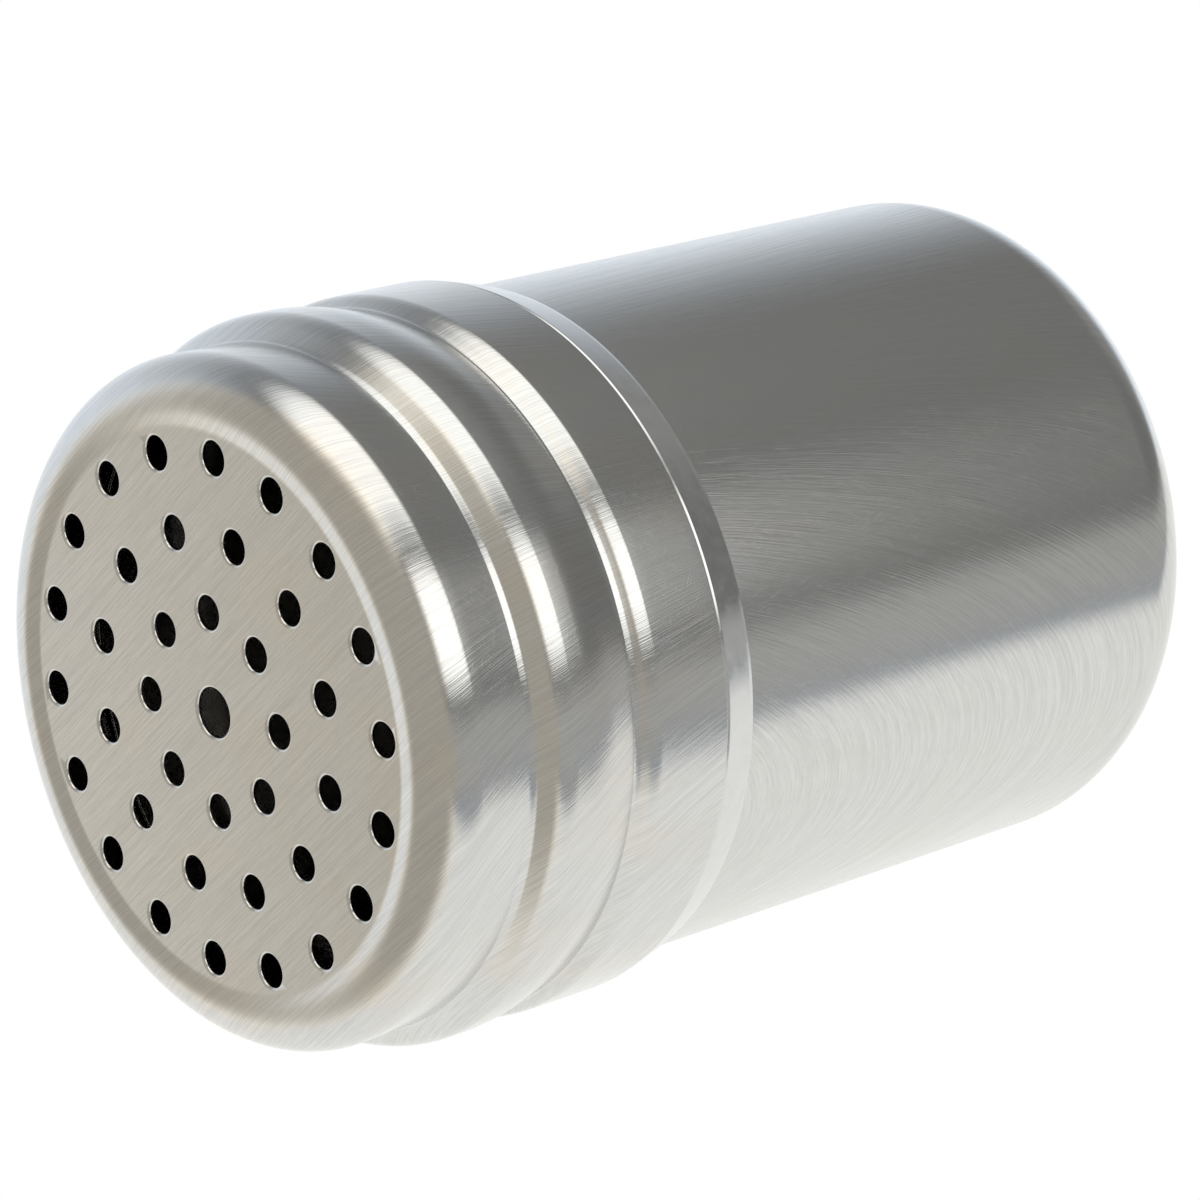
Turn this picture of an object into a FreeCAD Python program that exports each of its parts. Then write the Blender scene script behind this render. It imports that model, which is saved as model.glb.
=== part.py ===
import FreeCAD, Part
import math
import os

# Kitchen shaker in two drawn sheet metal pieces: a plain cup and a push-on perforated lid.
# Millimetres, +Z up along the axis, origin at the centre of the underside.

# Whole shaker
total_height = 93.5
sheet = 0.5

# Cup
cup_radius = 30.85
cup_corner_radius = 7.1
foot_ring_width = 4.75
base_panel_lift = 0.8
base_panel_run = 3.0
rim_ease = 0.15

# Fits between the lid and the cup
guide_clearance = 0.1
hem_clearance = 0.15
skirt_clearance = 1.1
seat_gap = 0.15

# Lid widths, which follow the cup's wall
dome_inset = 0.2
dome_radius = cup_radius - dome_inset
dome_taper = 0.3
skirt_radius = cup_radius + skirt_clearance + sheet

# Lid bands from the crest of the shoulder down
dome_drop = 9.6
step_drop = 2.0
middle_band_straight = 4.2
middle_band_fall = 4.4
grip_rise = 1.3
lower_band_straight = 8.25
hem_drop = 3.85
step_depth = dome_drop + step_drop
fall_depth = step_depth + middle_band_straight
grip_depth = fall_depth + middle_band_fall
lower_band_depth = grip_depth + grip_rise
hem_depth = lower_band_depth + lower_band_straight
crease_depth = 0.22
crease_width = 0.36

# Bends of the lid's skirt
shoulder_round = 4.0
step_valley_round = 0.8
step_edge_round = 1.6
grip_valley_round = 0.9
lower_band_round = 2.2

# Lid face: a flat panel, let in a little, with a slight slope up to the shoulder
shoulder_width = 5.85
panel_radius = dome_radius - shoulder_width
panel_slope = 6.0

# Holes punched in the lid face, in three rings round a larger one
ring_counts = (8, 12, 18)
inner_ring_radius = 8.79
outer_ring_margin = 2.23
outer_ring_radius = panel_radius - outer_ring_margin
hole_radius = 1.48
centre_hole_radius = 2.18


def unit(a, b):
    """Direction from point a to point b in the half section."""
    run = b - a
    return run / run.Length


def offset_points(points, distance):
    """Moves every straight run of a path sideways, to its right, and meets them again."""
    directions = [unit(points[i], points[i + 1]) for i in range(len(points) - 1)]
    normals = [FreeCAD.Vector(d.z, 0, -d.x) for d in directions]
    moved = [points[0] + normals[0] * distance]
    for i in range(1, len(points) - 1):
        mitre = normals[i - 1] + normals[i]
        reach = distance / mitre.dot(normals[i])
        moved.append(points[i] + mitre * reach)
    moved.append(points[-1] + normals[-1] * distance)
    return moved


def turn_side(a, b, c):
    """Positive where the path bends to its right at b, negative where it bends to its left."""
    first = unit(a, b)
    second = unit(b, c)
    return first.z * second.x - first.x * second.z


def offset_radii(points, radii, distance):
    """Bend radii of the parallel path: tighter on the inside of a bend, wider on the outside."""
    result = [0.0]
    for i in range(1, len(points) - 1):
        inside = turn_side(points[i - 1], points[i], points[i + 1]) > 0
        if radii[i] == 0:
            result.append(0.0)
        else:
            result.append(max(radii[i] - distance, 0.0) if inside else radii[i] + distance)
    result.append(0.0)
    return result


def bend_centre(corner, back, ahead, radius):
    """Centre of the arc that rounds a corner between two directions leading away from it."""
    bisector = back + ahead
    half_angle = back.getAngle(ahead) / 2
    return corner + bisector / bisector.Length * (radius / math.sin(half_angle))


def rounded_path(points, radii):
    """Edges of straight runs joined by tangent arcs."""
    edges = []
    start = points[0]
    for i in range(1, len(points) - 1):
        back = unit(points[i], points[i - 1])
        ahead = unit(points[i], points[i + 1])
        if radii[i] > 0:
            setback = radii[i] / math.tan(back.getAngle(ahead) / 2)
            centre = bend_centre(points[i], back, ahead, radii[i])
            enter = points[i] + back * setback
            leave = points[i] + ahead * setback
            middle = centre + unit(centre, points[i]) * radii[i]
            edges.append(Part.LineSegment(start, enter).toShape())
            edges.append(Part.Arc(enter, middle, leave).toShape())
            start = leave
        else:
            edges.append(Part.LineSegment(start, points[i]).toShape())
            start = points[i]
    edges.append(Part.LineSegment(start, points[-1]).toShape())
    return edges


def revolve(edges):
    """Solid of revolution about Z from a closed half section."""
    face = Part.Face(Part.Wire(edges))
    solid = face.revolve(FreeCAD.Vector(0, 0, 0), FreeCAD.Vector(0, 0, 1), 360)
    if solid.Volume < 0:
        solid.reverse()
    return solid


def drawn_sheet(points, radii):
    """Sheet metal shell: the outer skin of the path, with the sheet's thickness on its right."""
    inner_points = offset_points(points, sheet)
    inner_radii = offset_radii(points, radii, sheet)
    outer = rounded_path(points, radii)
    inner = rounded_path(inner_points, inner_radii)
    axis_end = Part.LineSegment(points[0], inner_points[0]).toShape()
    open_end = Part.LineSegment(points[-1], inner_points[-1]).toShape()
    return revolve(Part.__sortEdges__(outer + inner + [axis_end, open_end]))


def section_point(radius, height):
    return FreeCAD.Vector(radius, 0, height)


def lid_point(radius, depth):
    """Point of the lid's half section at a depth below the shoulder crest."""
    return section_point(radius, total_height - depth)


def panel_place():
    """Depth of the lid's flat panel below the crest of the shoulder, and its rise to the dome's radius."""
    slope = math.radians(panel_slope)
    rise = shoulder_width * math.tan(slope)
    corner = section_point(dome_radius, rise)
    back = section_point(-math.cos(slope), -math.sin(slope))
    ahead = section_point(-dome_taper, -dome_drop)
    crest = bend_centre(corner, back, ahead / ahead.Length, shoulder_round).z + shoulder_round
    return crest, rise


def lid_section():
    """Outer skin of the lid from the centre of the face to the lower edge of the hem."""
    grip_radius = cup_radius + guide_clearance + sheet
    hem_end_radius = cup_radius + hem_clearance + sheet
    depth, rise = panel_place()
    rows = [
        (lid_point(0, depth), 0.0),
        (lid_point(panel_radius, depth), 0.0),
        (lid_point(dome_radius, depth - rise), shoulder_round),
        (lid_point(dome_radius - dome_taper, dome_drop), step_valley_round),
        (lid_point(skirt_radius, step_depth), step_edge_round),
        (lid_point(skirt_radius, fall_depth), 0.0),
        (lid_point(grip_radius, grip_depth), grip_valley_round),
        (lid_point(skirt_radius, lower_band_depth), lower_band_round),
        (lid_point(skirt_radius, hem_depth), 0.0),
        (lid_point(hem_end_radius, hem_depth + hem_drop), 0.0),
    ]
    return [row[0] for row in rows], [row[1] for row in rows]


def punch(radius, distance, angle):
    """Round cutter for one hole in the lid's panel at a distance and an angle from +X."""
    reach = 3 * sheet
    depth = panel_place()[0]
    cutter = Part.makeCylinder(radius, 2 * reach, lid_point(distance, depth + reach))
    cutter.rotate(FreeCAD.Vector(0, 0, 0), FreeCAD.Vector(0, 0, 1), angle)
    return cutter


def punches():
    """Cutters for the centre hole and for the evenly spaced rings, which share one radial line."""
    cutters = [punch(centre_hole_radius, 0.0, 0.0)]
    ring_step = (outer_ring_radius - inner_ring_radius) / (len(ring_counts) - 1)
    for ring, count in enumerate(ring_counts):
        pitch_radius = inner_ring_radius + ring * ring_step
        for i in range(count):
            cutters.append(punch(hole_radius, pitch_radius, 360.0 * i / count))
    return cutters


def hem_crease():
    """Cutter for the fine crease where the hem turns in."""
    corners = [
        lid_point(skirt_radius - crease_depth, hem_depth + crease_width / 2),
        lid_point(skirt_radius + crease_depth, hem_depth - crease_width / 2),
        lid_point(skirt_radius + crease_depth, hem_depth + crease_width * 3 / 2),
    ]
    return revolve(Part.makePolygon(corners + corners[:1]).Edges)


def perforated_lid():
    points, radii = lid_section()
    lid = drawn_sheet(points, radii)
    lid = lid.cut(hem_crease())
    return lid.cut(punches())


def seat_height():
    """Height of the cup's rim, just under the inside of the lid's step at the cup's radius."""
    points, radii = lid_section()
    inner = offset_points(points, sheet)
    valley = inner[3]
    edge = inner[4]
    share = (cup_radius - valley.x) / (edge.x - valley.x)
    return valley.z + (edge.z - valley.z) * share - seat_gap


def shaker_cup():
    """Drawn cup: lifted base panel, flat foot ring, round corner, straight wall and eased rim."""
    foot_inner_radius = cup_radius - cup_corner_radius - foot_ring_width
    points = [
        section_point(0, base_panel_lift),
        section_point(foot_inner_radius - base_panel_run, base_panel_lift),
        section_point(foot_inner_radius, 0),
        section_point(cup_radius, 0),
        section_point(cup_radius, seat_height()),
    ]
    radii = [0.0, 0.0, 0.0, cup_corner_radius, 0.0]
    mirrored = [FreeCAD.Vector(-p.x, 0, p.z) for p in points]
    cup = drawn_sheet(mirrored, radii)
    rim_edges = [e for e in cup.Edges if e.BoundBox.ZMin > seat_height() - sheet / 2 and e.Closed]
    return cup.makeChamfer(rim_ease, rim_edges)


def write_step(name, shape):
    clean = shape.removeSplitter()
    solid = clean.Solids[0]
    print(name, "solids", len(clean.Solids), "valid", solid.isValid(), "volume", round(solid.Volume, 1))
    solid.exportStep(os.path.join("parts", name + ".step"))


os.makedirs("parts", exist_ok=True)
write_step("shaker_cup", shaker_cup())
write_step("perforated_lid", perforated_lid())
print("rim height", round(seat_height(), 3), "hem depth", round(hem_depth, 3))
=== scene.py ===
import bmesh
import bpy
import logging
import math
from dataclasses import dataclass, field
from enum import Enum
from typing import Any, Callable, Sequence

from mathutils import Matrix, Vector


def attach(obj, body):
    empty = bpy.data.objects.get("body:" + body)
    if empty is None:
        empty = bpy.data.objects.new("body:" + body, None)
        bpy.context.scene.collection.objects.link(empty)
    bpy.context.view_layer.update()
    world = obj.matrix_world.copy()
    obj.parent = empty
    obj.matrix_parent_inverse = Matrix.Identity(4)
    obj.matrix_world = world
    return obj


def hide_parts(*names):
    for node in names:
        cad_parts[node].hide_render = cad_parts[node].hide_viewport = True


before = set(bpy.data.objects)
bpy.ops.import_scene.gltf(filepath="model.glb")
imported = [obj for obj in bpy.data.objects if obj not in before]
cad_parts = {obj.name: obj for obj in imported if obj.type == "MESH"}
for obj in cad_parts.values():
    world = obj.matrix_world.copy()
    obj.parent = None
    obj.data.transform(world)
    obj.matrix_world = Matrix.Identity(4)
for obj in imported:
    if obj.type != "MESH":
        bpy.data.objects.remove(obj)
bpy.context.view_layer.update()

# Brushed steel spice shaker: a drawn cup with a push-on perforated lid.
# Lengths in the classes are millimetres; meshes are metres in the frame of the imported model.

MM = 0.001
TURNS = 256
PUNCH_TURNS = 48
MERGE_DISTANCE = 2e-6
SAME_HEIGHT = 1e-6
SAME_RADIUS = 1e-5
SMOOTH_DEGREES = 38.0
log = logging.getLogger("shaker")

Point = tuple[float, float]


class Region(Enum):
    """Parts of a drawn piece that are picked out by where they lie."""

    PANEL_RIM = "rim of the open top"
    OPEN_EDGE = "edge of the open end"


@dataclass(frozen=True)
class Bend:
    """One corner of a half section."""

    radius: float
    height: float
    rounding: float = 0.0
    facets: int = 8


def unit(run: Point) -> Point:
    """Returns the direction of a run."""
    length = math.hypot(*run)
    return (run[0] / length, run[1] / length)


def rounded_section(bends: Sequence[Bend]) -> list[Point]:
    """Turns corners into a line of points with tangent arcs.

    Args:
        bends: corners from the centre outwards and down, with their rounding radii.

    Returns:
        Radius and height of each point of the section.
    """
    points: list[Point] = [(bends[0].radius, bends[0].height)]
    for before, bend, after in zip(bends, bends[1:], bends[2:]):
        back = unit((before.radius - bend.radius, before.height - bend.height))
        ahead = unit((after.radius - bend.radius, after.height - bend.height))
        if bend.rounding <= 0:
            points.append((bend.radius, bend.height))
            continue
        half = math.acos(max(-1.0, min(1.0, back[0] * ahead[0] + back[1] * ahead[1]))) / 2
        middle = unit((back[0] + ahead[0], back[1] + ahead[1]))
        reach = bend.rounding / math.sin(half)
        centre = (bend.radius + middle[0] * reach, bend.height + middle[1] * reach)
        setback = bend.rounding / math.tan(half)
        start = (bend.radius + back[0] * setback, bend.height + back[1] * setback)
        end = (bend.radius + ahead[0] * setback, bend.height + ahead[1] * setback)
        first = math.atan2(start[1] - centre[1], start[0] - centre[0])
        turn = math.remainder(math.atan2(end[1] - centre[1], end[0] - centre[0]) - first, math.tau)
        for step in range(bend.facets + 1):
            angle = first + turn * step / bend.facets
            points.append((centre[0] + bend.rounding * math.cos(angle),
                           centre[1] + bend.rounding * math.sin(angle)))
    points.append((bends[-1].radius, bends[-1].height))
    return points


def spread(points: Sequence[Point], longest: float) -> list[Point]:
    """Adds points on runs that are longer than a given length."""
    result = [points[0]]
    for start, end in zip(points, points[1:]):
        parts = max(1, math.ceil(math.dist(start, end) / longest))
        for i in range(1, parts + 1):
            share = i / parts
            result.append((start[0] + (end[0] - start[0]) * share,
                           start[1] + (end[1] - start[1]) * share))
    return result


class Workbench:
    """Edit mode steps that shape a primitive the way they are done by hand."""

    @staticmethod
    def clear_selection() -> None:
        """Leaves object mode with nothing selected."""
        if bpy.context.object and bpy.context.object.mode != "OBJECT":
            bpy.ops.object.mode_set(mode="OBJECT")
        bpy.ops.object.select_all(action="DESELECT")

    @staticmethod
    def pick(piece: bpy.types.Object) -> None:
        """Makes one object the only selected and active one."""
        Workbench.clear_selection()
        piece.select_set(True)
        bpy.context.view_layer.objects.active = piece

    @staticmethod
    def spin_section(name: str, section: Sequence[Point], steps: int) -> bpy.types.Object:
        """Draws a half section by extruding one vertex, and spins it about the upright axis.

        Args:
            name: the new object's name.
            section: radius and height of each point, in millimetres.
            steps: number of steps in the full turn.

        Returns:
            The spun object, in object mode.
        """
        Workbench.clear_selection()
        start = (section[0][0] * MM, 0.0, section[0][1] * MM)
        bpy.ops.mesh.primitive_plane_add(size=MM, location=start)
        piece = bpy.context.object
        piece.name = piece.data.name = name
        bpy.ops.object.transform_apply(location=True, rotation=True, scale=True)
        bpy.ops.object.mode_set(mode="EDIT")
        bpy.ops.mesh.select_mode(type="VERT")
        bpy.ops.mesh.select_all(action="SELECT")
        bpy.ops.mesh.merge(type="CENTER")
        for (r0, z0), (r1, z1) in zip(section, section[1:]):
            move = ((r1 - r0) * MM, 0.0, (z1 - z0) * MM)
            bpy.ops.mesh.extrude_vertices_move(TRANSFORM_OT_translate={"value": move})
        bpy.ops.mesh.select_all(action="SELECT")
        bpy.ops.mesh.spin(steps=steps, angle=math.tau, center=(0, 0, 0), axis=(0, 0, 1))
        bpy.ops.mesh.select_all(action="SELECT")
        bpy.ops.mesh.remove_doubles(threshold=MERGE_DISTANCE)
        bpy.ops.mesh.normals_make_consistent(inside=False)
        bpy.ops.object.mode_set(mode="OBJECT")
        return piece

    @staticmethod
    def select_edges(piece: bpy.types.Object, wanted: Callable[[Any], bool]) -> int:
        """Selects the edges that pass a test, in edit mode.

        Args:
            piece: the object being edited.
            wanted: a test on one edge.

        Returns:
            The number of edges selected.
        """
        Workbench.pick(piece)
        bpy.ops.object.mode_set(mode="EDIT")
        bpy.ops.mesh.select_mode(type="EDGE")
        bpy.ops.mesh.select_all(action="DESELECT")
        mesh = bmesh.from_edit_mesh(piece.data)
        chosen = [edge for edge in mesh.edges if wanted(edge)]
        for edge in chosen:
            edge.select_set(True)
        bmesh.update_edit_mesh(piece.data)
        return len(chosen)

    @staticmethod
    def apply_modifier(piece: bpy.types.Object, kind: str, **settings: Any) -> None:
        """Adds one modifier, sets it and applies it."""
        Workbench.pick(piece)
        modifier = piece.modifiers.new(kind.title(), kind)
        for key, value in settings.items():
            setattr(modifier, key, value)
        bpy.ops.object.modifier_apply(modifier=modifier.name)

    @staticmethod
    def thicken(piece: bpy.types.Object, sheet: float) -> None:
        """Gives a skin the sheet's thickness in millimetres, on its inner side."""
        Workbench.apply_modifier(piece, "SOLIDIFY", thickness=sheet * MM, offset=-1.0,
                                 use_even_offset=True)

    @staticmethod
    def smooth(piece: bpy.types.Object, degrees: float) -> None:
        """Shades a piece smooth up to an angle and evens its normals by face area."""
        Workbench.pick(piece)
        bpy.ops.object.shade_smooth_by_angle(angle=math.radians(degrees))
        Workbench.apply_modifier(piece, "WEIGHTED_NORMAL", mode="FACE_AREA", weight=100,
                                 keep_sharp=True)


class Wire:
    """A number, colour or vector in a node tree, with operators that add Math nodes."""

    def __init__(self, bench: "NodeBench", socket: bpy.types.NodeSocket) -> None:
        """Wraps one output socket."""
        self.bench = bench
        self.socket = socket

    def math(self, operation: str, *others: Any) -> "Wire":
        """Feeds this value and others through one Math node."""
        inputs = dict(enumerate((self, *others)))
        return self.bench.wire("ShaderNodeMath", {"operation": operation}, inputs)

    def __add__(self, other: Any) -> "Wire":
        """Sum."""
        return self.math("ADD", other)

    __radd__ = __add__

    def __mul__(self, other: Any) -> "Wire":
        """Product."""
        return self.math("MULTIPLY", other)

    __rmul__ = __mul__

    def __sub__(self, other: Any) -> "Wire":
        """Difference."""
        return self.math("SUBTRACT", other)

    def __rsub__(self, other: float) -> "Wire":
        """Difference from a plain number."""
        return self.bench.wire("ShaderNodeMath", {"operation": "SUBTRACT"}, {0: other, 1: self})

    def __truediv__(self, other: Any) -> "Wire":
        """Quotient."""
        return self.math("DIVIDE", other)

    def __pow__(self, other: Any) -> "Wire":
        """Power."""
        return self.math("POWER", other)

    def largest(self, other: Any) -> "Wire":
        """The larger of two values."""
        return self.math("MAXIMUM", other)

    def ramp(self, low: float, high: float, to_low: float = 0.0, to_high: float = 1.0) -> "Wire":
        """Smooth step between two values, scaled to a new range."""
        return self.bench.wire(
            "ShaderNodeMapRange",
            {"interpolation_type": "SMOOTHSTEP"},
            {"Value": self, "From Min": low, "From Max": high, "To Min": to_low, "To Max": to_high},
        )


class NodeBench:
    """Adds nodes to one tree."""

    def __init__(self, tree: bpy.types.NodeTree) -> None:
        """Starts from an empty tree."""
        self.tree = tree
        tree.nodes.clear()

    def node(self, kind: str, settings: dict[str, Any] | None = None,
             inputs: dict[Any, Any] | None = None) -> Any:
        """Adds one node.

        Args:
            kind: the node's type name.
            settings: properties, set before the inputs.
            inputs: values or wires by socket name or number.

        Returns:
            The node.
        """
        node = self.tree.nodes.new(kind)
        for key, value in (settings or {}).items():
            setattr(node, key, value)
        for key, value in (inputs or {}).items():
            if isinstance(value, Wire):
                self.tree.links.new(value.socket, node.inputs[key])
            else:
                node.inputs[key].default_value = value
        return node

    def wire(self, kind: str, settings: dict[str, Any] | None = None,
             inputs: dict[Any, Any] | None = None, output: Any = 0) -> Wire:
        """Adds one node and returns one of its outputs."""
        return Wire(self, self.node(kind, settings, inputs).outputs[output])

    def blend_colours(self, factor: Any, first: Any, second: Any,
                      mode: str = "MIX") -> Wire:
        """Mixes two colours."""
        node = self.node("ShaderNodeMix", {"data_type": "RGBA", "blend_type": mode})
        sockets = (node.inputs[0], node.inputs[6], node.inputs[7])
        for socket, value in zip(sockets, (factor, first, second)):
            if isinstance(value, Wire):
                self.tree.links.new(value.socket, socket)
            else:
                socket.default_value = value
        return Wire(self, node.outputs[2])

    def grey(self, value: Wire) -> Wire:
        """A grey colour from a number."""
        return self.wire("ShaderNodeCombineColor", None, {0: value, 1: value, 2: value})


@dataclass(frozen=True)
class BrushedSteel:
    """Stainless sheet that was brushed flat in one direction and then drawn to shape.

    The grain follows the piece's UV map, which holds where each point lay on the flat blank,
    in millimetres. The cells are noise cells per millimetre, along the grain and across it.
    """

    name: str
    tint: tuple[float, float, float] = (0.655, 0.655, 0.65)
    warm: tuple[float, float, float] = (0.70, 0.63, 0.54)
    warmth: float = 0.25
    roughness: float = 0.2
    grain_depth: float = 0.35
    grain_tone: float = 0.16
    scratches: float = 0.3
    grain_angle: float = 0.0
    fine_cells: tuple[float, float] = (0.08, 6.0)
    broad_cells: tuple[float, float] = (0.03, 1.6)
    short_cells: tuple[float, float] = (0.35, 8.0)
    cloud_cells: tuple[float, float] = (0.09, 0.09)
    scratch_cells: float = 0.45
    scratch_runs: tuple[tuple[float, float], ...] = ((20.0, 7.0), (75.0, 9.0), (130.0, 8.0))

    def make(self) -> bpy.types.Material:
        """Builds the material.

        Returns:
            The finished material.
        """
        material = bpy.data.materials.new(self.name)
        material.use_nodes = True
        bench = NodeBench(material.node_tree)
        blank = bench.wire("ShaderNodeUVMap", {"uv_map": "blank"})
        turned = bench.wire("ShaderNodeMapping", None,
                            {"Vector": blank,
                             "Rotation": (0.0, 0.0, -math.radians(self.grain_angle))})
        fine = self.streaks(bench, turned, self.fine_cells, 2.0)
        broad = self.streaks(bench, turned, self.broad_cells, 2.0)
        short = self.streaks(bench, turned, self.short_cells, 1.0)
        cloud = self.streaks(bench, turned, self.cloud_cells, 3.0)
        grain = fine * 0.5 + broad * 0.2 + short * 0.3
        marks = self.marks(bench, blank)

        stain = cloud.ramp(0.42, 0.72, 0.0, self.warmth)
        base = bench.blend_colours(stain, (*self.tint, 1.0), (*self.warm, 1.0))
        tone = grain.ramp(0.3, 0.7, 1.0 - self.grain_tone, 1.0 + self.grain_tone * 0.5)
        tone = tone + marks * 0.25
        colour = bench.blend_colours(1.0, base, bench.grey(tone), "MULTIPLY")
        roughness = grain.ramp(0.25, 0.75, self.roughness * 1.25, self.roughness * 0.8)
        roughness = roughness + marks * 0.15
        bump = bench.wire("ShaderNodeBump", None, {
            "Strength": self.grain_depth, "Distance": 0.00006, "Height": grain + marks * 0.4})
        shader = bench.wire("ShaderNodeBsdfPrincipled", None, {
            "Base Color": colour, "Metallic": 1.0, "Roughness": roughness, "Normal": bump})
        bench.node("ShaderNodeOutputMaterial", None, {"Surface": shader})
        return material

    @staticmethod
    def streaks(bench: NodeBench, vector: Wire, cells: tuple[float, float],
                detail: float) -> Wire:
        """Noise drawn out along the grain: cells per millimetre along it and across it."""
        stretched = bench.wire("ShaderNodeMapping", None,
                               {"Vector": vector, "Scale": (*cells, 1.0)})
        return bench.wire("ShaderNodeTexNoise", {"noise_dimensions": "2D"},
                          {"Vector": stretched, "Scale": 1.0, "Detail": detail, "Roughness": 0.6})

    def marks(self, bench: NodeBench, blank: Wire) -> Wire:
        """Sparse short scratches in three directions, from 0 to 1."""
        total: Any = None
        for angle, width in self.scratch_runs:
            turned = bench.wire("ShaderNodeMapping", None, {
                "Vector": blank, "Rotation": (0.0, 0.0, math.radians(angle)),
                "Location": (angle, width, 0.0)})
            line = self.streaks(bench, turned, (self.scratch_cells, width), 0.0)
            line = line.ramp(0.78, 0.86, 0.0, self.scratches)
            total = line if total is None else total + line
        return total


@dataclass(frozen=True)
class BurnishedSteel:
    """Smooth turned-in edge with no brushed grain."""

    name: str
    tint: tuple[float, float, float] = (0.68, 0.68, 0.68)
    roughness: float = 0.16

    def make(self) -> bpy.types.Material:
        """Builds the material.

        Returns:
            The finished material.
        """
        material = bpy.data.materials.new(self.name)
        material.use_nodes = True
        bench = NodeBench(material.node_tree)
        place = bench.wire("ShaderNodeTexCoord", None, None, "Object")
        noise = bench.wire("ShaderNodeTexNoise", None,
                           {"Vector": place, "Scale": 700.0, "Detail": 3.0, "Roughness": 0.6})
        roughness = noise.ramp(0.3, 0.7, self.roughness * 0.8, self.roughness * 1.4)
        tone = noise.ramp(0.2, 0.8, 0.95, 1.03)
        colour = bench.blend_colours(1.0, (*self.tint, 1.0), bench.grey(tone), "MULTIPLY")
        shader = bench.wire("ShaderNodeBsdfPrincipled", None,
                            {"Base Color": colour, "Metallic": 1.0, "Roughness": roughness})
        bench.node("ShaderNodeOutputMaterial", None, {"Surface": shader})
        return material


def blank_table(section: Sequence[Point]) -> list[float]:
    """Radius on the flat blank of each point of a drawn section, by equal area.

    Args:
        section: radius and height of each point, from the centre out.

    Returns:
        One blank radius per point.
    """
    square = section[0][0] ** 2
    radii = [math.sqrt(square)]
    for (r0, z0), (r1, z1) in zip(section, section[1:]):
        square += (r0 + r1) * math.hypot(r1 - r0, z1 - z0)
        radii.append(math.sqrt(square))
    return radii


def write_blank_map(piece: bpy.types.Object, blank_radius: Callable[[float, float], float]) -> None:
    """Writes the UV map that holds each point's place on the flat blank, in millimetres.

    Args:
        piece: the finished mesh object.
        blank_radius: gives the blank radius for a radius and a height in millimetres.
    """
    mesh = piece.data
    layer = mesh.uv_layers.new(name="blank")
    places = []
    for vertex in mesh.vertices:
        x, y, z = (value / MM for value in vertex.co)
        radius = math.hypot(x, y)
        share = blank_radius(radius, z) / radius if radius > 1e-6 else 1.0
        places.append((x * share, y * share))
    for loop in mesh.loops:
        layer.data[loop.index].uv = places[loop.vertex_index]


def between(table: Sequence[tuple[float, float]], value: float) -> float:
    """Reads a table of rising keys with straight lines between them."""
    if value <= table[0][0]:
        return table[0][1]
    for (k0, v0), (k1, v1) in zip(table, table[1:]):
        if value <= k1:
            return v0 + (v1 - v0) * (value - k0) / (k1 - k0)
    return table[-1][1]


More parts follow.
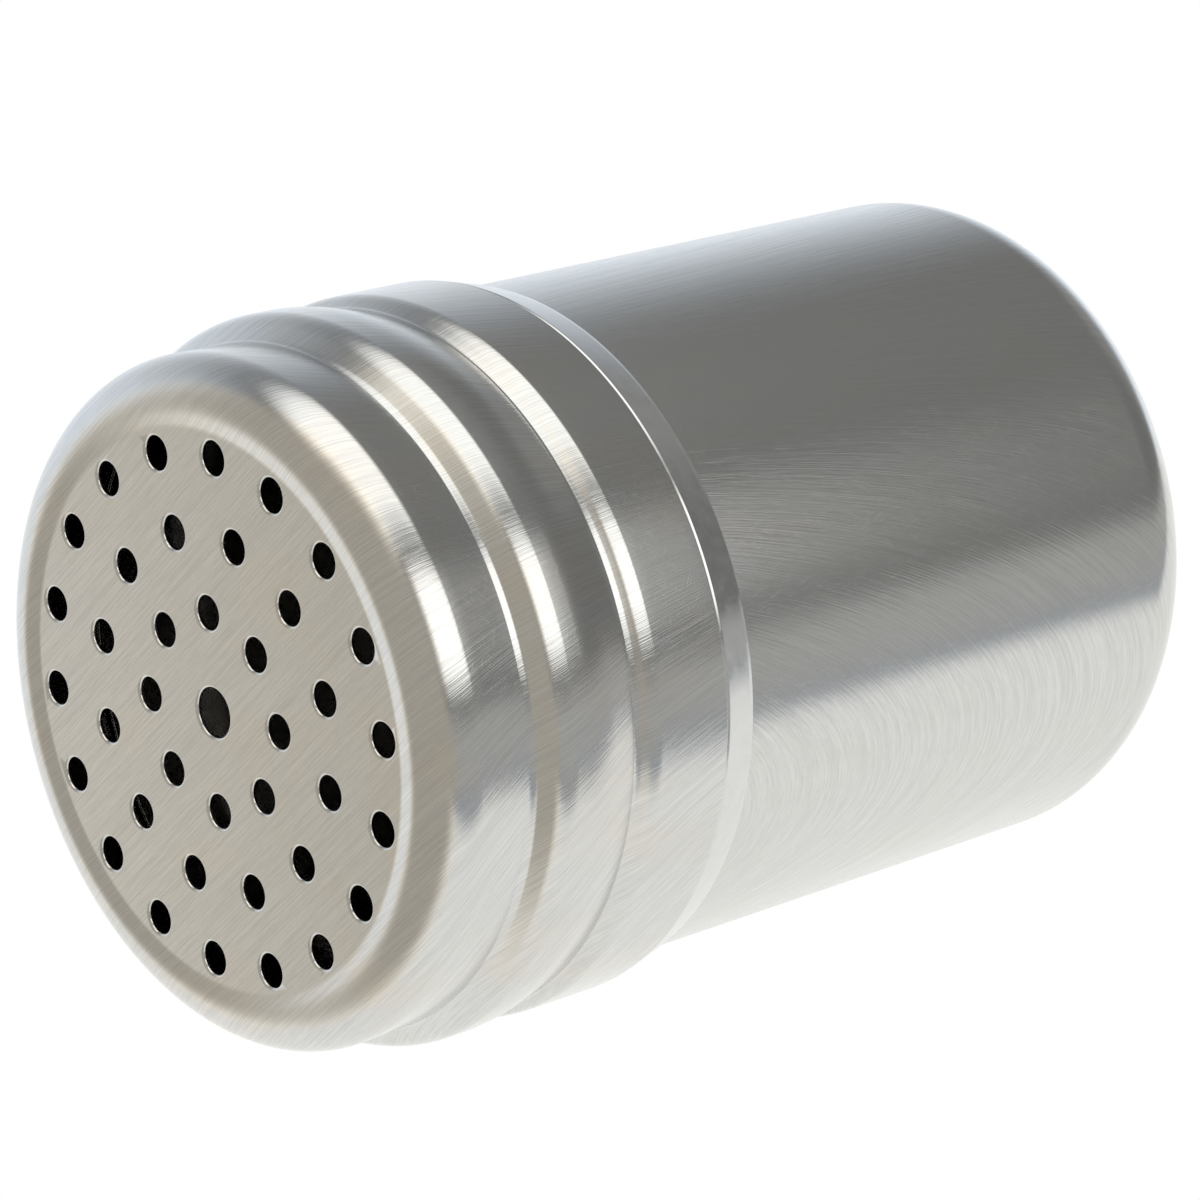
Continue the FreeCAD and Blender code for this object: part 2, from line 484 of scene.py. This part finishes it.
@dataclass
class Lid:
    """Push-on perforated lid: let-in face, round shoulder, three bands and a turned-in hem."""

    total_height: float = 93.5
    sheet: float = 0.5
    panel_radius: float = 24.8
    panel_edge: float = 0.4
    panel_drop: float = 0.294
    dome_radius: float = 30.65
    dome_foot_radius: float = 30.35
    dome_depth: float = 9.6
    skirt_radius: float = 32.45
    step_depth: float = 11.6
    fall_depth: float = 15.8
    grip_radius: float = 31.45
    grip_depth: float = 20.2
    lower_band_depth: float = 21.5
    hem_depth: float = 29.75
    hem_end_radius: float = 31.5
    hem_finish_gap: float = 0.02
    lid_height: float = 33.6
    hole_radius: float = 1.48
    centre_hole_radius: float = 2.18
    rings: tuple[tuple[int, float], ...] = ((8, 8.79), (12, 15.68), (18, 22.57))
    lip: float = 0.3
    lip_exit: float = 15.0
    lip_facets: int = 6
    slope: float = 12.0
    section: list[Point] = field(default_factory=list)

    def panel_height(self) -> float:
        """Height of the flat face."""
        return self.total_height - self.panel_drop

    def bends(self) -> list[Bend]:
        """Corners of the outer skin from the edge of the face to the end of the hem."""
        top = self.total_height
        rise = (self.dome_radius - self.panel_radius) * math.tan(math.radians(self.slope))
        return [
            Bend(self.panel_radius - self.panel_edge, self.panel_height()),
            Bend(self.panel_radius, self.panel_height(), 2.6, 5),
            Bend(self.dome_radius, self.panel_height() + rise, 4.0, 18),
            Bend(self.dome_foot_radius, top - self.dome_depth, 1.0, 8),
            Bend(self.skirt_radius, top - self.step_depth, 2.8, 10),
            Bend(self.skirt_radius, top - self.fall_depth, 14.0, 6),
            Bend(self.grip_radius, top - self.grip_depth, 0.9, 6),
            Bend(self.skirt_radius, top - self.lower_band_depth, 2.2, 8),
            Bend(self.skirt_radius, top - self.hem_depth + 0.05, 0.12, 3),
            Bend(self.skirt_radius - 0.16, top - self.hem_depth - 0.1, 0.05, 2),
            Bend(self.skirt_radius - 0.06, top - self.hem_depth - 0.24, 0.3, 4),
            Bend(self.hem_end_radius + 0.12, top - self.lid_height + 0.4, 0.8, 5),
            Bend(self.hem_end_radius, top - self.lid_height),
        ]

    def hole_places(self) -> list[tuple[float, float, float]]:
        """Place and radius of every hole."""
        places = [(0.0, 0.0, self.centre_hole_radius)]
        for count, pitch in self.rings:
            for i in range(count):
                angle = math.tau * i / count
                places.append((pitch * math.cos(angle), pitch * math.sin(angle), self.hole_radius))
        return places

    def punch(self, radius: float) -> bpy.types.Object:
        """One round cutter with a flared mouth, which leaves the hole with a rolled lip.

        Args:
            radius: radius of the hole, in millimetres.

        Returns:
            The cutter, with its mouth at the origin's height.
        """
        section: list[Point] = [(0.0, -3 * self.sheet), (radius, -3 * self.sheet)]
        for step in range(self.lip_facets + 1):
            angle = math.radians(180.0 - (90.0 - self.lip_exit) * step / self.lip_facets)
            section.append((radius + self.lip * (1 + math.cos(angle)),
                            self.lip * (math.sin(angle) - 1)))
        last = section[-1]
        rise = self.sheet / 2 - last[1]
        run = rise / math.tan(math.radians(self.lip_exit))
        section.append((last[0] + run, last[1] + rise))
        section.append((0.0, self.sheet / 2))
        return Workbench.spin_section("punch", section, PUNCH_TURNS)

    def cutters(self) -> bpy.types.Object:
        """Cutters for the holes, modelled once for each size and copied.

        Returns:
            One object that holds every cutter.
        """
        made: dict[float, bpy.types.Object] = {}
        copies = []
        for x, y, radius in self.hole_places():
            if radius not in made:
                made[radius] = self.punch(radius)
                cutter = made[radius]
            else:
                cutter = made[radius].copy()
                cutter.data = made[radius].data.copy()
                bpy.context.scene.collection.objects.link(cutter)
            cutter.location = (x * MM, y * MM, self.panel_height() * MM)
            copies.append(cutter)
        Workbench.pick(copies[0])
        for cutter in copies:
            cutter.select_set(True)
        bpy.ops.object.join()
        bpy.ops.object.transform_apply(location=True, rotation=True, scale=True)
        return bpy.context.object

    def build(self, finish: BrushedSteel, hem_finish: BurnishedSteel) -> bpy.types.Object:
        """Builds and dresses the lid.

        Args:
            finish: the brushed sheet.
            hem_finish: the smooth hem.

        Returns:
            The finished lid.
        """
        self.section = rounded_section(self.bends())
        lid = Workbench.spin_section("lid_shell", spread(self.section, 1.2), TURNS)
        self.fill_face(lid)
        Workbench.thicken(lid, self.sheet)
        punches = self.cutters()
        Workbench.apply_modifier(lid, "BOOLEAN", object=punches, operation="DIFFERENCE",
                                 solver="EXACT")
        bpy.data.objects.remove(punches)
        Workbench.smooth(lid, SMOOTH_DEGREES)
        self.write_map(lid)
        self.dress(lid, finish.make(), hem_finish.make())
        return lid

    def fill_face(self, lid: bpy.types.Object) -> None:
        """Closes the open top with the flat face and turns every face outwards."""
        top = self.panel_height() * MM
        rim = (self.panel_radius - self.panel_edge) * MM
        count = Workbench.select_edges(lid, lambda edge: all(
            abs(v.co.z - top) < SAME_HEIGHT and abs(v.co.xy.length - rim) < SAME_RADIUS
            for v in edge.verts))
        bpy.ops.mesh.edge_face_add()
        bpy.ops.mesh.select_all(action="SELECT")
        bpy.ops.mesh.normals_make_consistent(inside=False)
        bpy.ops.object.mode_set(mode="OBJECT")
        log.info("%s: %d edges", Region.PANEL_RIM.value, count)

    def write_map(self, lid: bpy.types.Object) -> None:
        """Writes where each point lay on the flat blank."""
        blank = blank_table(self.section)
        shift = (self.panel_radius - self.panel_edge) ** 2 - blank[0] ** 2
        crest = max(range(len(self.section)), key=lambda i: self.section[i][1])
        skirt = list(zip(self.section, blank))[crest:]
        by_height = sorted((z, math.sqrt(b * b + shift)) for (_, z), b in skirt)
        crest_radius, crest_height = self.section[crest]

        def blank_radius(radius: float, height: float) -> float:
            """Blank radius of one point of the lid."""
            if radius < crest_radius:
                return radius
            return between(by_height, min(height, crest_height))

        write_blank_map(lid, blank_radius)

    def dress(self, lid: bpy.types.Object, sheet: bpy.types.Material,
              hem: bpy.types.Material) -> None:
        """Gives the hem its smooth finish and the rest the brushed one."""
        lid.data.materials.clear()
        lid.data.materials.append(sheet)
        lid.data.materials.append(hem)
        edge = (self.total_height - self.hem_depth - self.hem_finish_gap) * MM
        for face in lid.data.polygons:
            face.material_index = 1 if face.center.z < edge else 0


@dataclass
class Cup:
    """Drawn cup: lifted base panel, foot ring, round corner and straight wall."""

    radius: float = 30.85
    corner_round: float = 7.1
    foot_inner_radius: float = 19.0
    panel_lift: float = 0.8
    panel_run: float = 3.0
    rim_height: float = 82.583
    sheet: float = 0.5
    rim_ease: float = 0.12
    section: list[Point] = field(default_factory=list)

    def bends(self) -> list[Bend]:
        """Corners of the outer skin from the centre of the base to the rim."""
        return [
            Bend(0.0, self.panel_lift),
            Bend(self.foot_inner_radius - self.panel_run, self.panel_lift, 3.0, 4),
            Bend(self.foot_inner_radius, 0.0, 3.0, 4),
            Bend(self.radius, 0.0, self.corner_round, 22),
            Bend(self.radius, self.rim_height),
        ]

    def build(self, finish: BrushedSteel) -> bpy.types.Object:
        """Builds and dresses the cup.

        Args:
            finish: the brushed sheet.

        Returns:
            The finished cup.
        """
        self.section = rounded_section(self.bends())
        cup = Workbench.spin_section("cup_shell", spread(self.section, 2.5), TURNS)
        Workbench.thicken(cup, self.sheet)
        rim = self.rim_height * MM

        def round_the_rim(edge: Any) -> bool:
            """True for an edge that runs round the rim, inside or outside."""
            first, second = (v.co for v in edge.verts)
            return (abs(first.z - rim) < SAME_HEIGHT and abs(second.z - rim) < SAME_HEIGHT
                    and abs(first.xy.length - second.xy.length) < SAME_RADIUS)

        count = Workbench.select_edges(cup, round_the_rim)
        bpy.ops.mesh.bevel(offset=self.rim_ease * MM, segments=3, profile=0.5, affect="EDGES")
        bpy.ops.object.mode_set(mode="OBJECT")
        log.info("%s: %d edges", Region.OPEN_EDGE.value, count)
        Workbench.smooth(cup, SMOOTH_DEGREES)
        self.write_map(cup)
        cup.data.materials.clear()
        cup.data.materials.append(finish.make())
        return cup

    def write_map(self, cup: bpy.types.Object) -> None:
        """Writes where each point lay on the flat blank."""
        blank = blank_table(self.section)
        flat = self.radius - self.corner_round
        by_height = [(z, b) for (r, z), b in zip(self.section, blank) if r > flat]

        def blank_radius(radius: float, height: float) -> float:
            """Blank radius of one point of the cup."""
            return radius if radius < flat else between(by_height, height)

        write_blank_map(cup, blank_radius)


@dataclass(frozen=True)
class Wedge:
    """Directions round the upright axis, in degrees: middle, half width and soft edge."""

    centre: float
    half: float
    soft: float


@dataclass
class Studio:
    """White sweep, soft light all round and the camera."""

    azimuth: float = 64.76
    elevation: float = 40.32
    roll: float = 105.28
    target_height: float = 48.3
    target_side: float = 0.6
    distance: float = 429.4
    lens: float = 141.48
    sensor: float = 36.0
    floor_gap: float = 0.4
    base_light: float = 0.21
    broad_side: Wedge = Wedge(217.0, 67.0, 6.0)
    broad_fade: Wedge = Wedge(180.0, 75.0, 80.0)
    fringe: Wedge = Wedge(200.0, 108.0, 16.0)
    edging: Wedge = Wedge(302.0, 12.0, 6.0)
    low_glow: Wedge = Wedge(90.0, 60.0, 50.0)
    first_box: Wedge = Wedge(342.0, 17.0, 10.0)
    second_box: Wedge = Wedge(41.0, 26.0, 22.0)
    cool_side: Wedge = Wedge(112.0, 30.0, 40.0)
    cool_strip: Wedge = Wedge(287.0, 3.5, 3.0)

    def camera(self) -> bpy.types.Object:
        """Adds the camera at the photograph's viewing angle.

        Returns:
            The camera object.
        """
        az, el, roll = (math.radians(a) for a in (self.azimuth, self.elevation, self.roll))
        back = Vector((math.sin(az) * math.cos(el), -math.cos(az) * math.cos(el), math.sin(el)))
        level = Vector((math.cos(az), math.sin(az), 0.0))
        up = back.cross(level) * math.cos(roll) + level * math.sin(roll)
        right = up.cross(back)
        target = Vector((self.target_side * math.cos(az), self.target_side * math.sin(az),
                         self.target_height))
        data = bpy.data.cameras.new("camera")
        data.lens = self.lens
        data.sensor_width = self.sensor
        data.clip_start = 0.01
        data.clip_end = 100.0
        camera = bpy.data.objects.new("camera", data)
        place = (target + back * self.distance) * MM
        turn = Matrix((right, up, back)).transposed().to_4x4()
        camera.matrix_world = Matrix.Translation(place) @ turn
        bpy.context.scene.collection.objects.link(camera)
        bpy.context.scene.camera = camera
        return camera

    def floor(self) -> bpy.types.Object:
        """Adds the plain white floor, which the steel doesn't mirror.

        Returns:
            The floor object.
        """
        Workbench.clear_selection()
        bpy.ops.mesh.primitive_circle_add(vertices=64, radius=3.0, fill_type="NGON",
                                          location=(0, 0, -self.floor_gap * MM))
        floor = bpy.context.object
        floor.name = floor.data.name = "floor"
        bpy.ops.object.transform_apply(location=True, rotation=True, scale=True)
        material = bpy.data.materials.new("white_floor")
        material.use_nodes = True
        bench = NodeBench(material.node_tree)
        glow = bench.wire("ShaderNodeEmission", None,
                          {"Color": (1.0, 1.0, 1.0, 1.0), "Strength": 1.0})
        bench.node("ShaderNodeOutputMaterial", None, {"Surface": glow})
        floor.data.materials.append(material)
        floor.visible_glossy = False
        floor.visible_diffuse = False
        floor.visible_shadow = False
        return floor

    def world(self) -> None:
        """Soft light by direction: two light boxes, a broad pale side and a darker gap."""
        world = bpy.data.worlds.new("studio")
        bpy.context.scene.world = world
        world.use_nodes = True
        bench = NodeBench(world.node_tree)
        direction = bench.wire("ShaderNodeTexCoord", None, None, "Generated")
        parts = bench.node("ShaderNodeSeparateXYZ", None, {0: direction})
        x, y, z = (Wire(bench, parts.outputs[i]) for i in range(3))
        reach = (x * x + y * y + 1e-6) ** 0.5
        east, north = x / reach, y / reach

        def within(wedge: Wedge) -> Wire:
            """1 in a wedge of directions round the upright axis, with soft edges."""
            angle = math.radians(wedge.centre)
            along = east * math.cos(angle) + north * math.sin(angle)
            outer = math.cos(math.radians(min(wedge.half + wedge.soft / 2, 180.0)))
            inner = math.cos(math.radians(max(wedge.half - wedge.soft / 2, 0.0)))
            return along.ramp(outer, inner)

        def above(low: float, high: float) -> Wire:
            """Rises from 0 to 1 between two heights in degrees."""
            return z.ramp(math.sin(math.radians(low)), math.sin(math.radians(high)))

        broad = within(self.broad_side).largest(within(self.broad_fade))
        fringe = within(self.fringe)
        edging = within(self.edging)
        middle = 1.0 - above(20.0, 40.0)
        first = within(self.first_box) * above(-42.0, -34.0) * middle
        second = within(self.second_box) * above(-38.0, -30.0) * (1.0 - above(30.0, 55.0))
        light = self.base_light + (fringe * 0.17).largest(edging * 0.27).largest(broad * 0.8)
        light = light + within(self.low_glow) * (1.0 - above(-62.0, -50.0)) * 0.1
        light = light + first * 1.5 + second * 1.3
        upper = above(24.0, 44.0)
        light = light * (1.0 - upper) + upper * (0.47 + second * 0.6)
        warm = above(15.0, 40.0)
        cool = within(self.cool_side).largest(within(self.cool_strip)) * (1.0 - warm)
        tint = bench.blend_colours(warm, (1.0, 1.0, 0.965, 1.0), (1.07, 1.0, 0.87, 1.0))
        tint = bench.blend_colours(cool, tint, (0.93, 1.0, 1.07, 1.0))
        seen = bench.wire("ShaderNodeLightPath", None, None, "Is Camera Ray")
        mirrored = bench.blend_colours(1.0, tint, bench.grey(light), "MULTIPLY")
        colour = bench.blend_colours(seen, mirrored, (1.0, 1.0, 1.0, 1.0))
        glow = bench.wire("ShaderNodeBackground", None, {"Color": colour, "Strength": 1.0})
        bench.node("ShaderNodeOutputWorld", None, {"Surface": glow})

    def build(self) -> None:
        """Sets the camera, the floor, the light and plain colour handling."""
        bpy.context.scene.view_settings.view_transform = "Standard"
        self.camera()
        self.floor()
        self.world()


def main() -> None:
    """Builds the studio and the two pieces, and reports each one."""
    logging.basicConfig(level=logging.INFO, format="%(name)s: %(message)s")
    Workbench.clear_selection()
    Studio().build()
    lid_steel = BrushedSteel("lid_steel", grain_angle=174.5, roughness=0.15, grain_depth=0.25,
                             grain_tone=0.12, scratches=0.1)
    cup_steel = BrushedSteel("cup_steel", grain_angle=22.0, roughness=0.17, grain_depth=0.3,
                             grain_tone=0.09, scratches=0.12, warmth=0.06)
    lid = Lid().build(lid_steel, BurnishedSteel("hem_steel"))
    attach(lid, "lid")
    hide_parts("perforated_lid")
    cup = Cup().build(cup_steel)
    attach(cup, "cup")
    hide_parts("shaker_cup")
    for piece in (lid, cup):
        log.info("%s: %d faces", piece.name, len(piece.data.polygons))


if __name__ == "__main__":
    main()
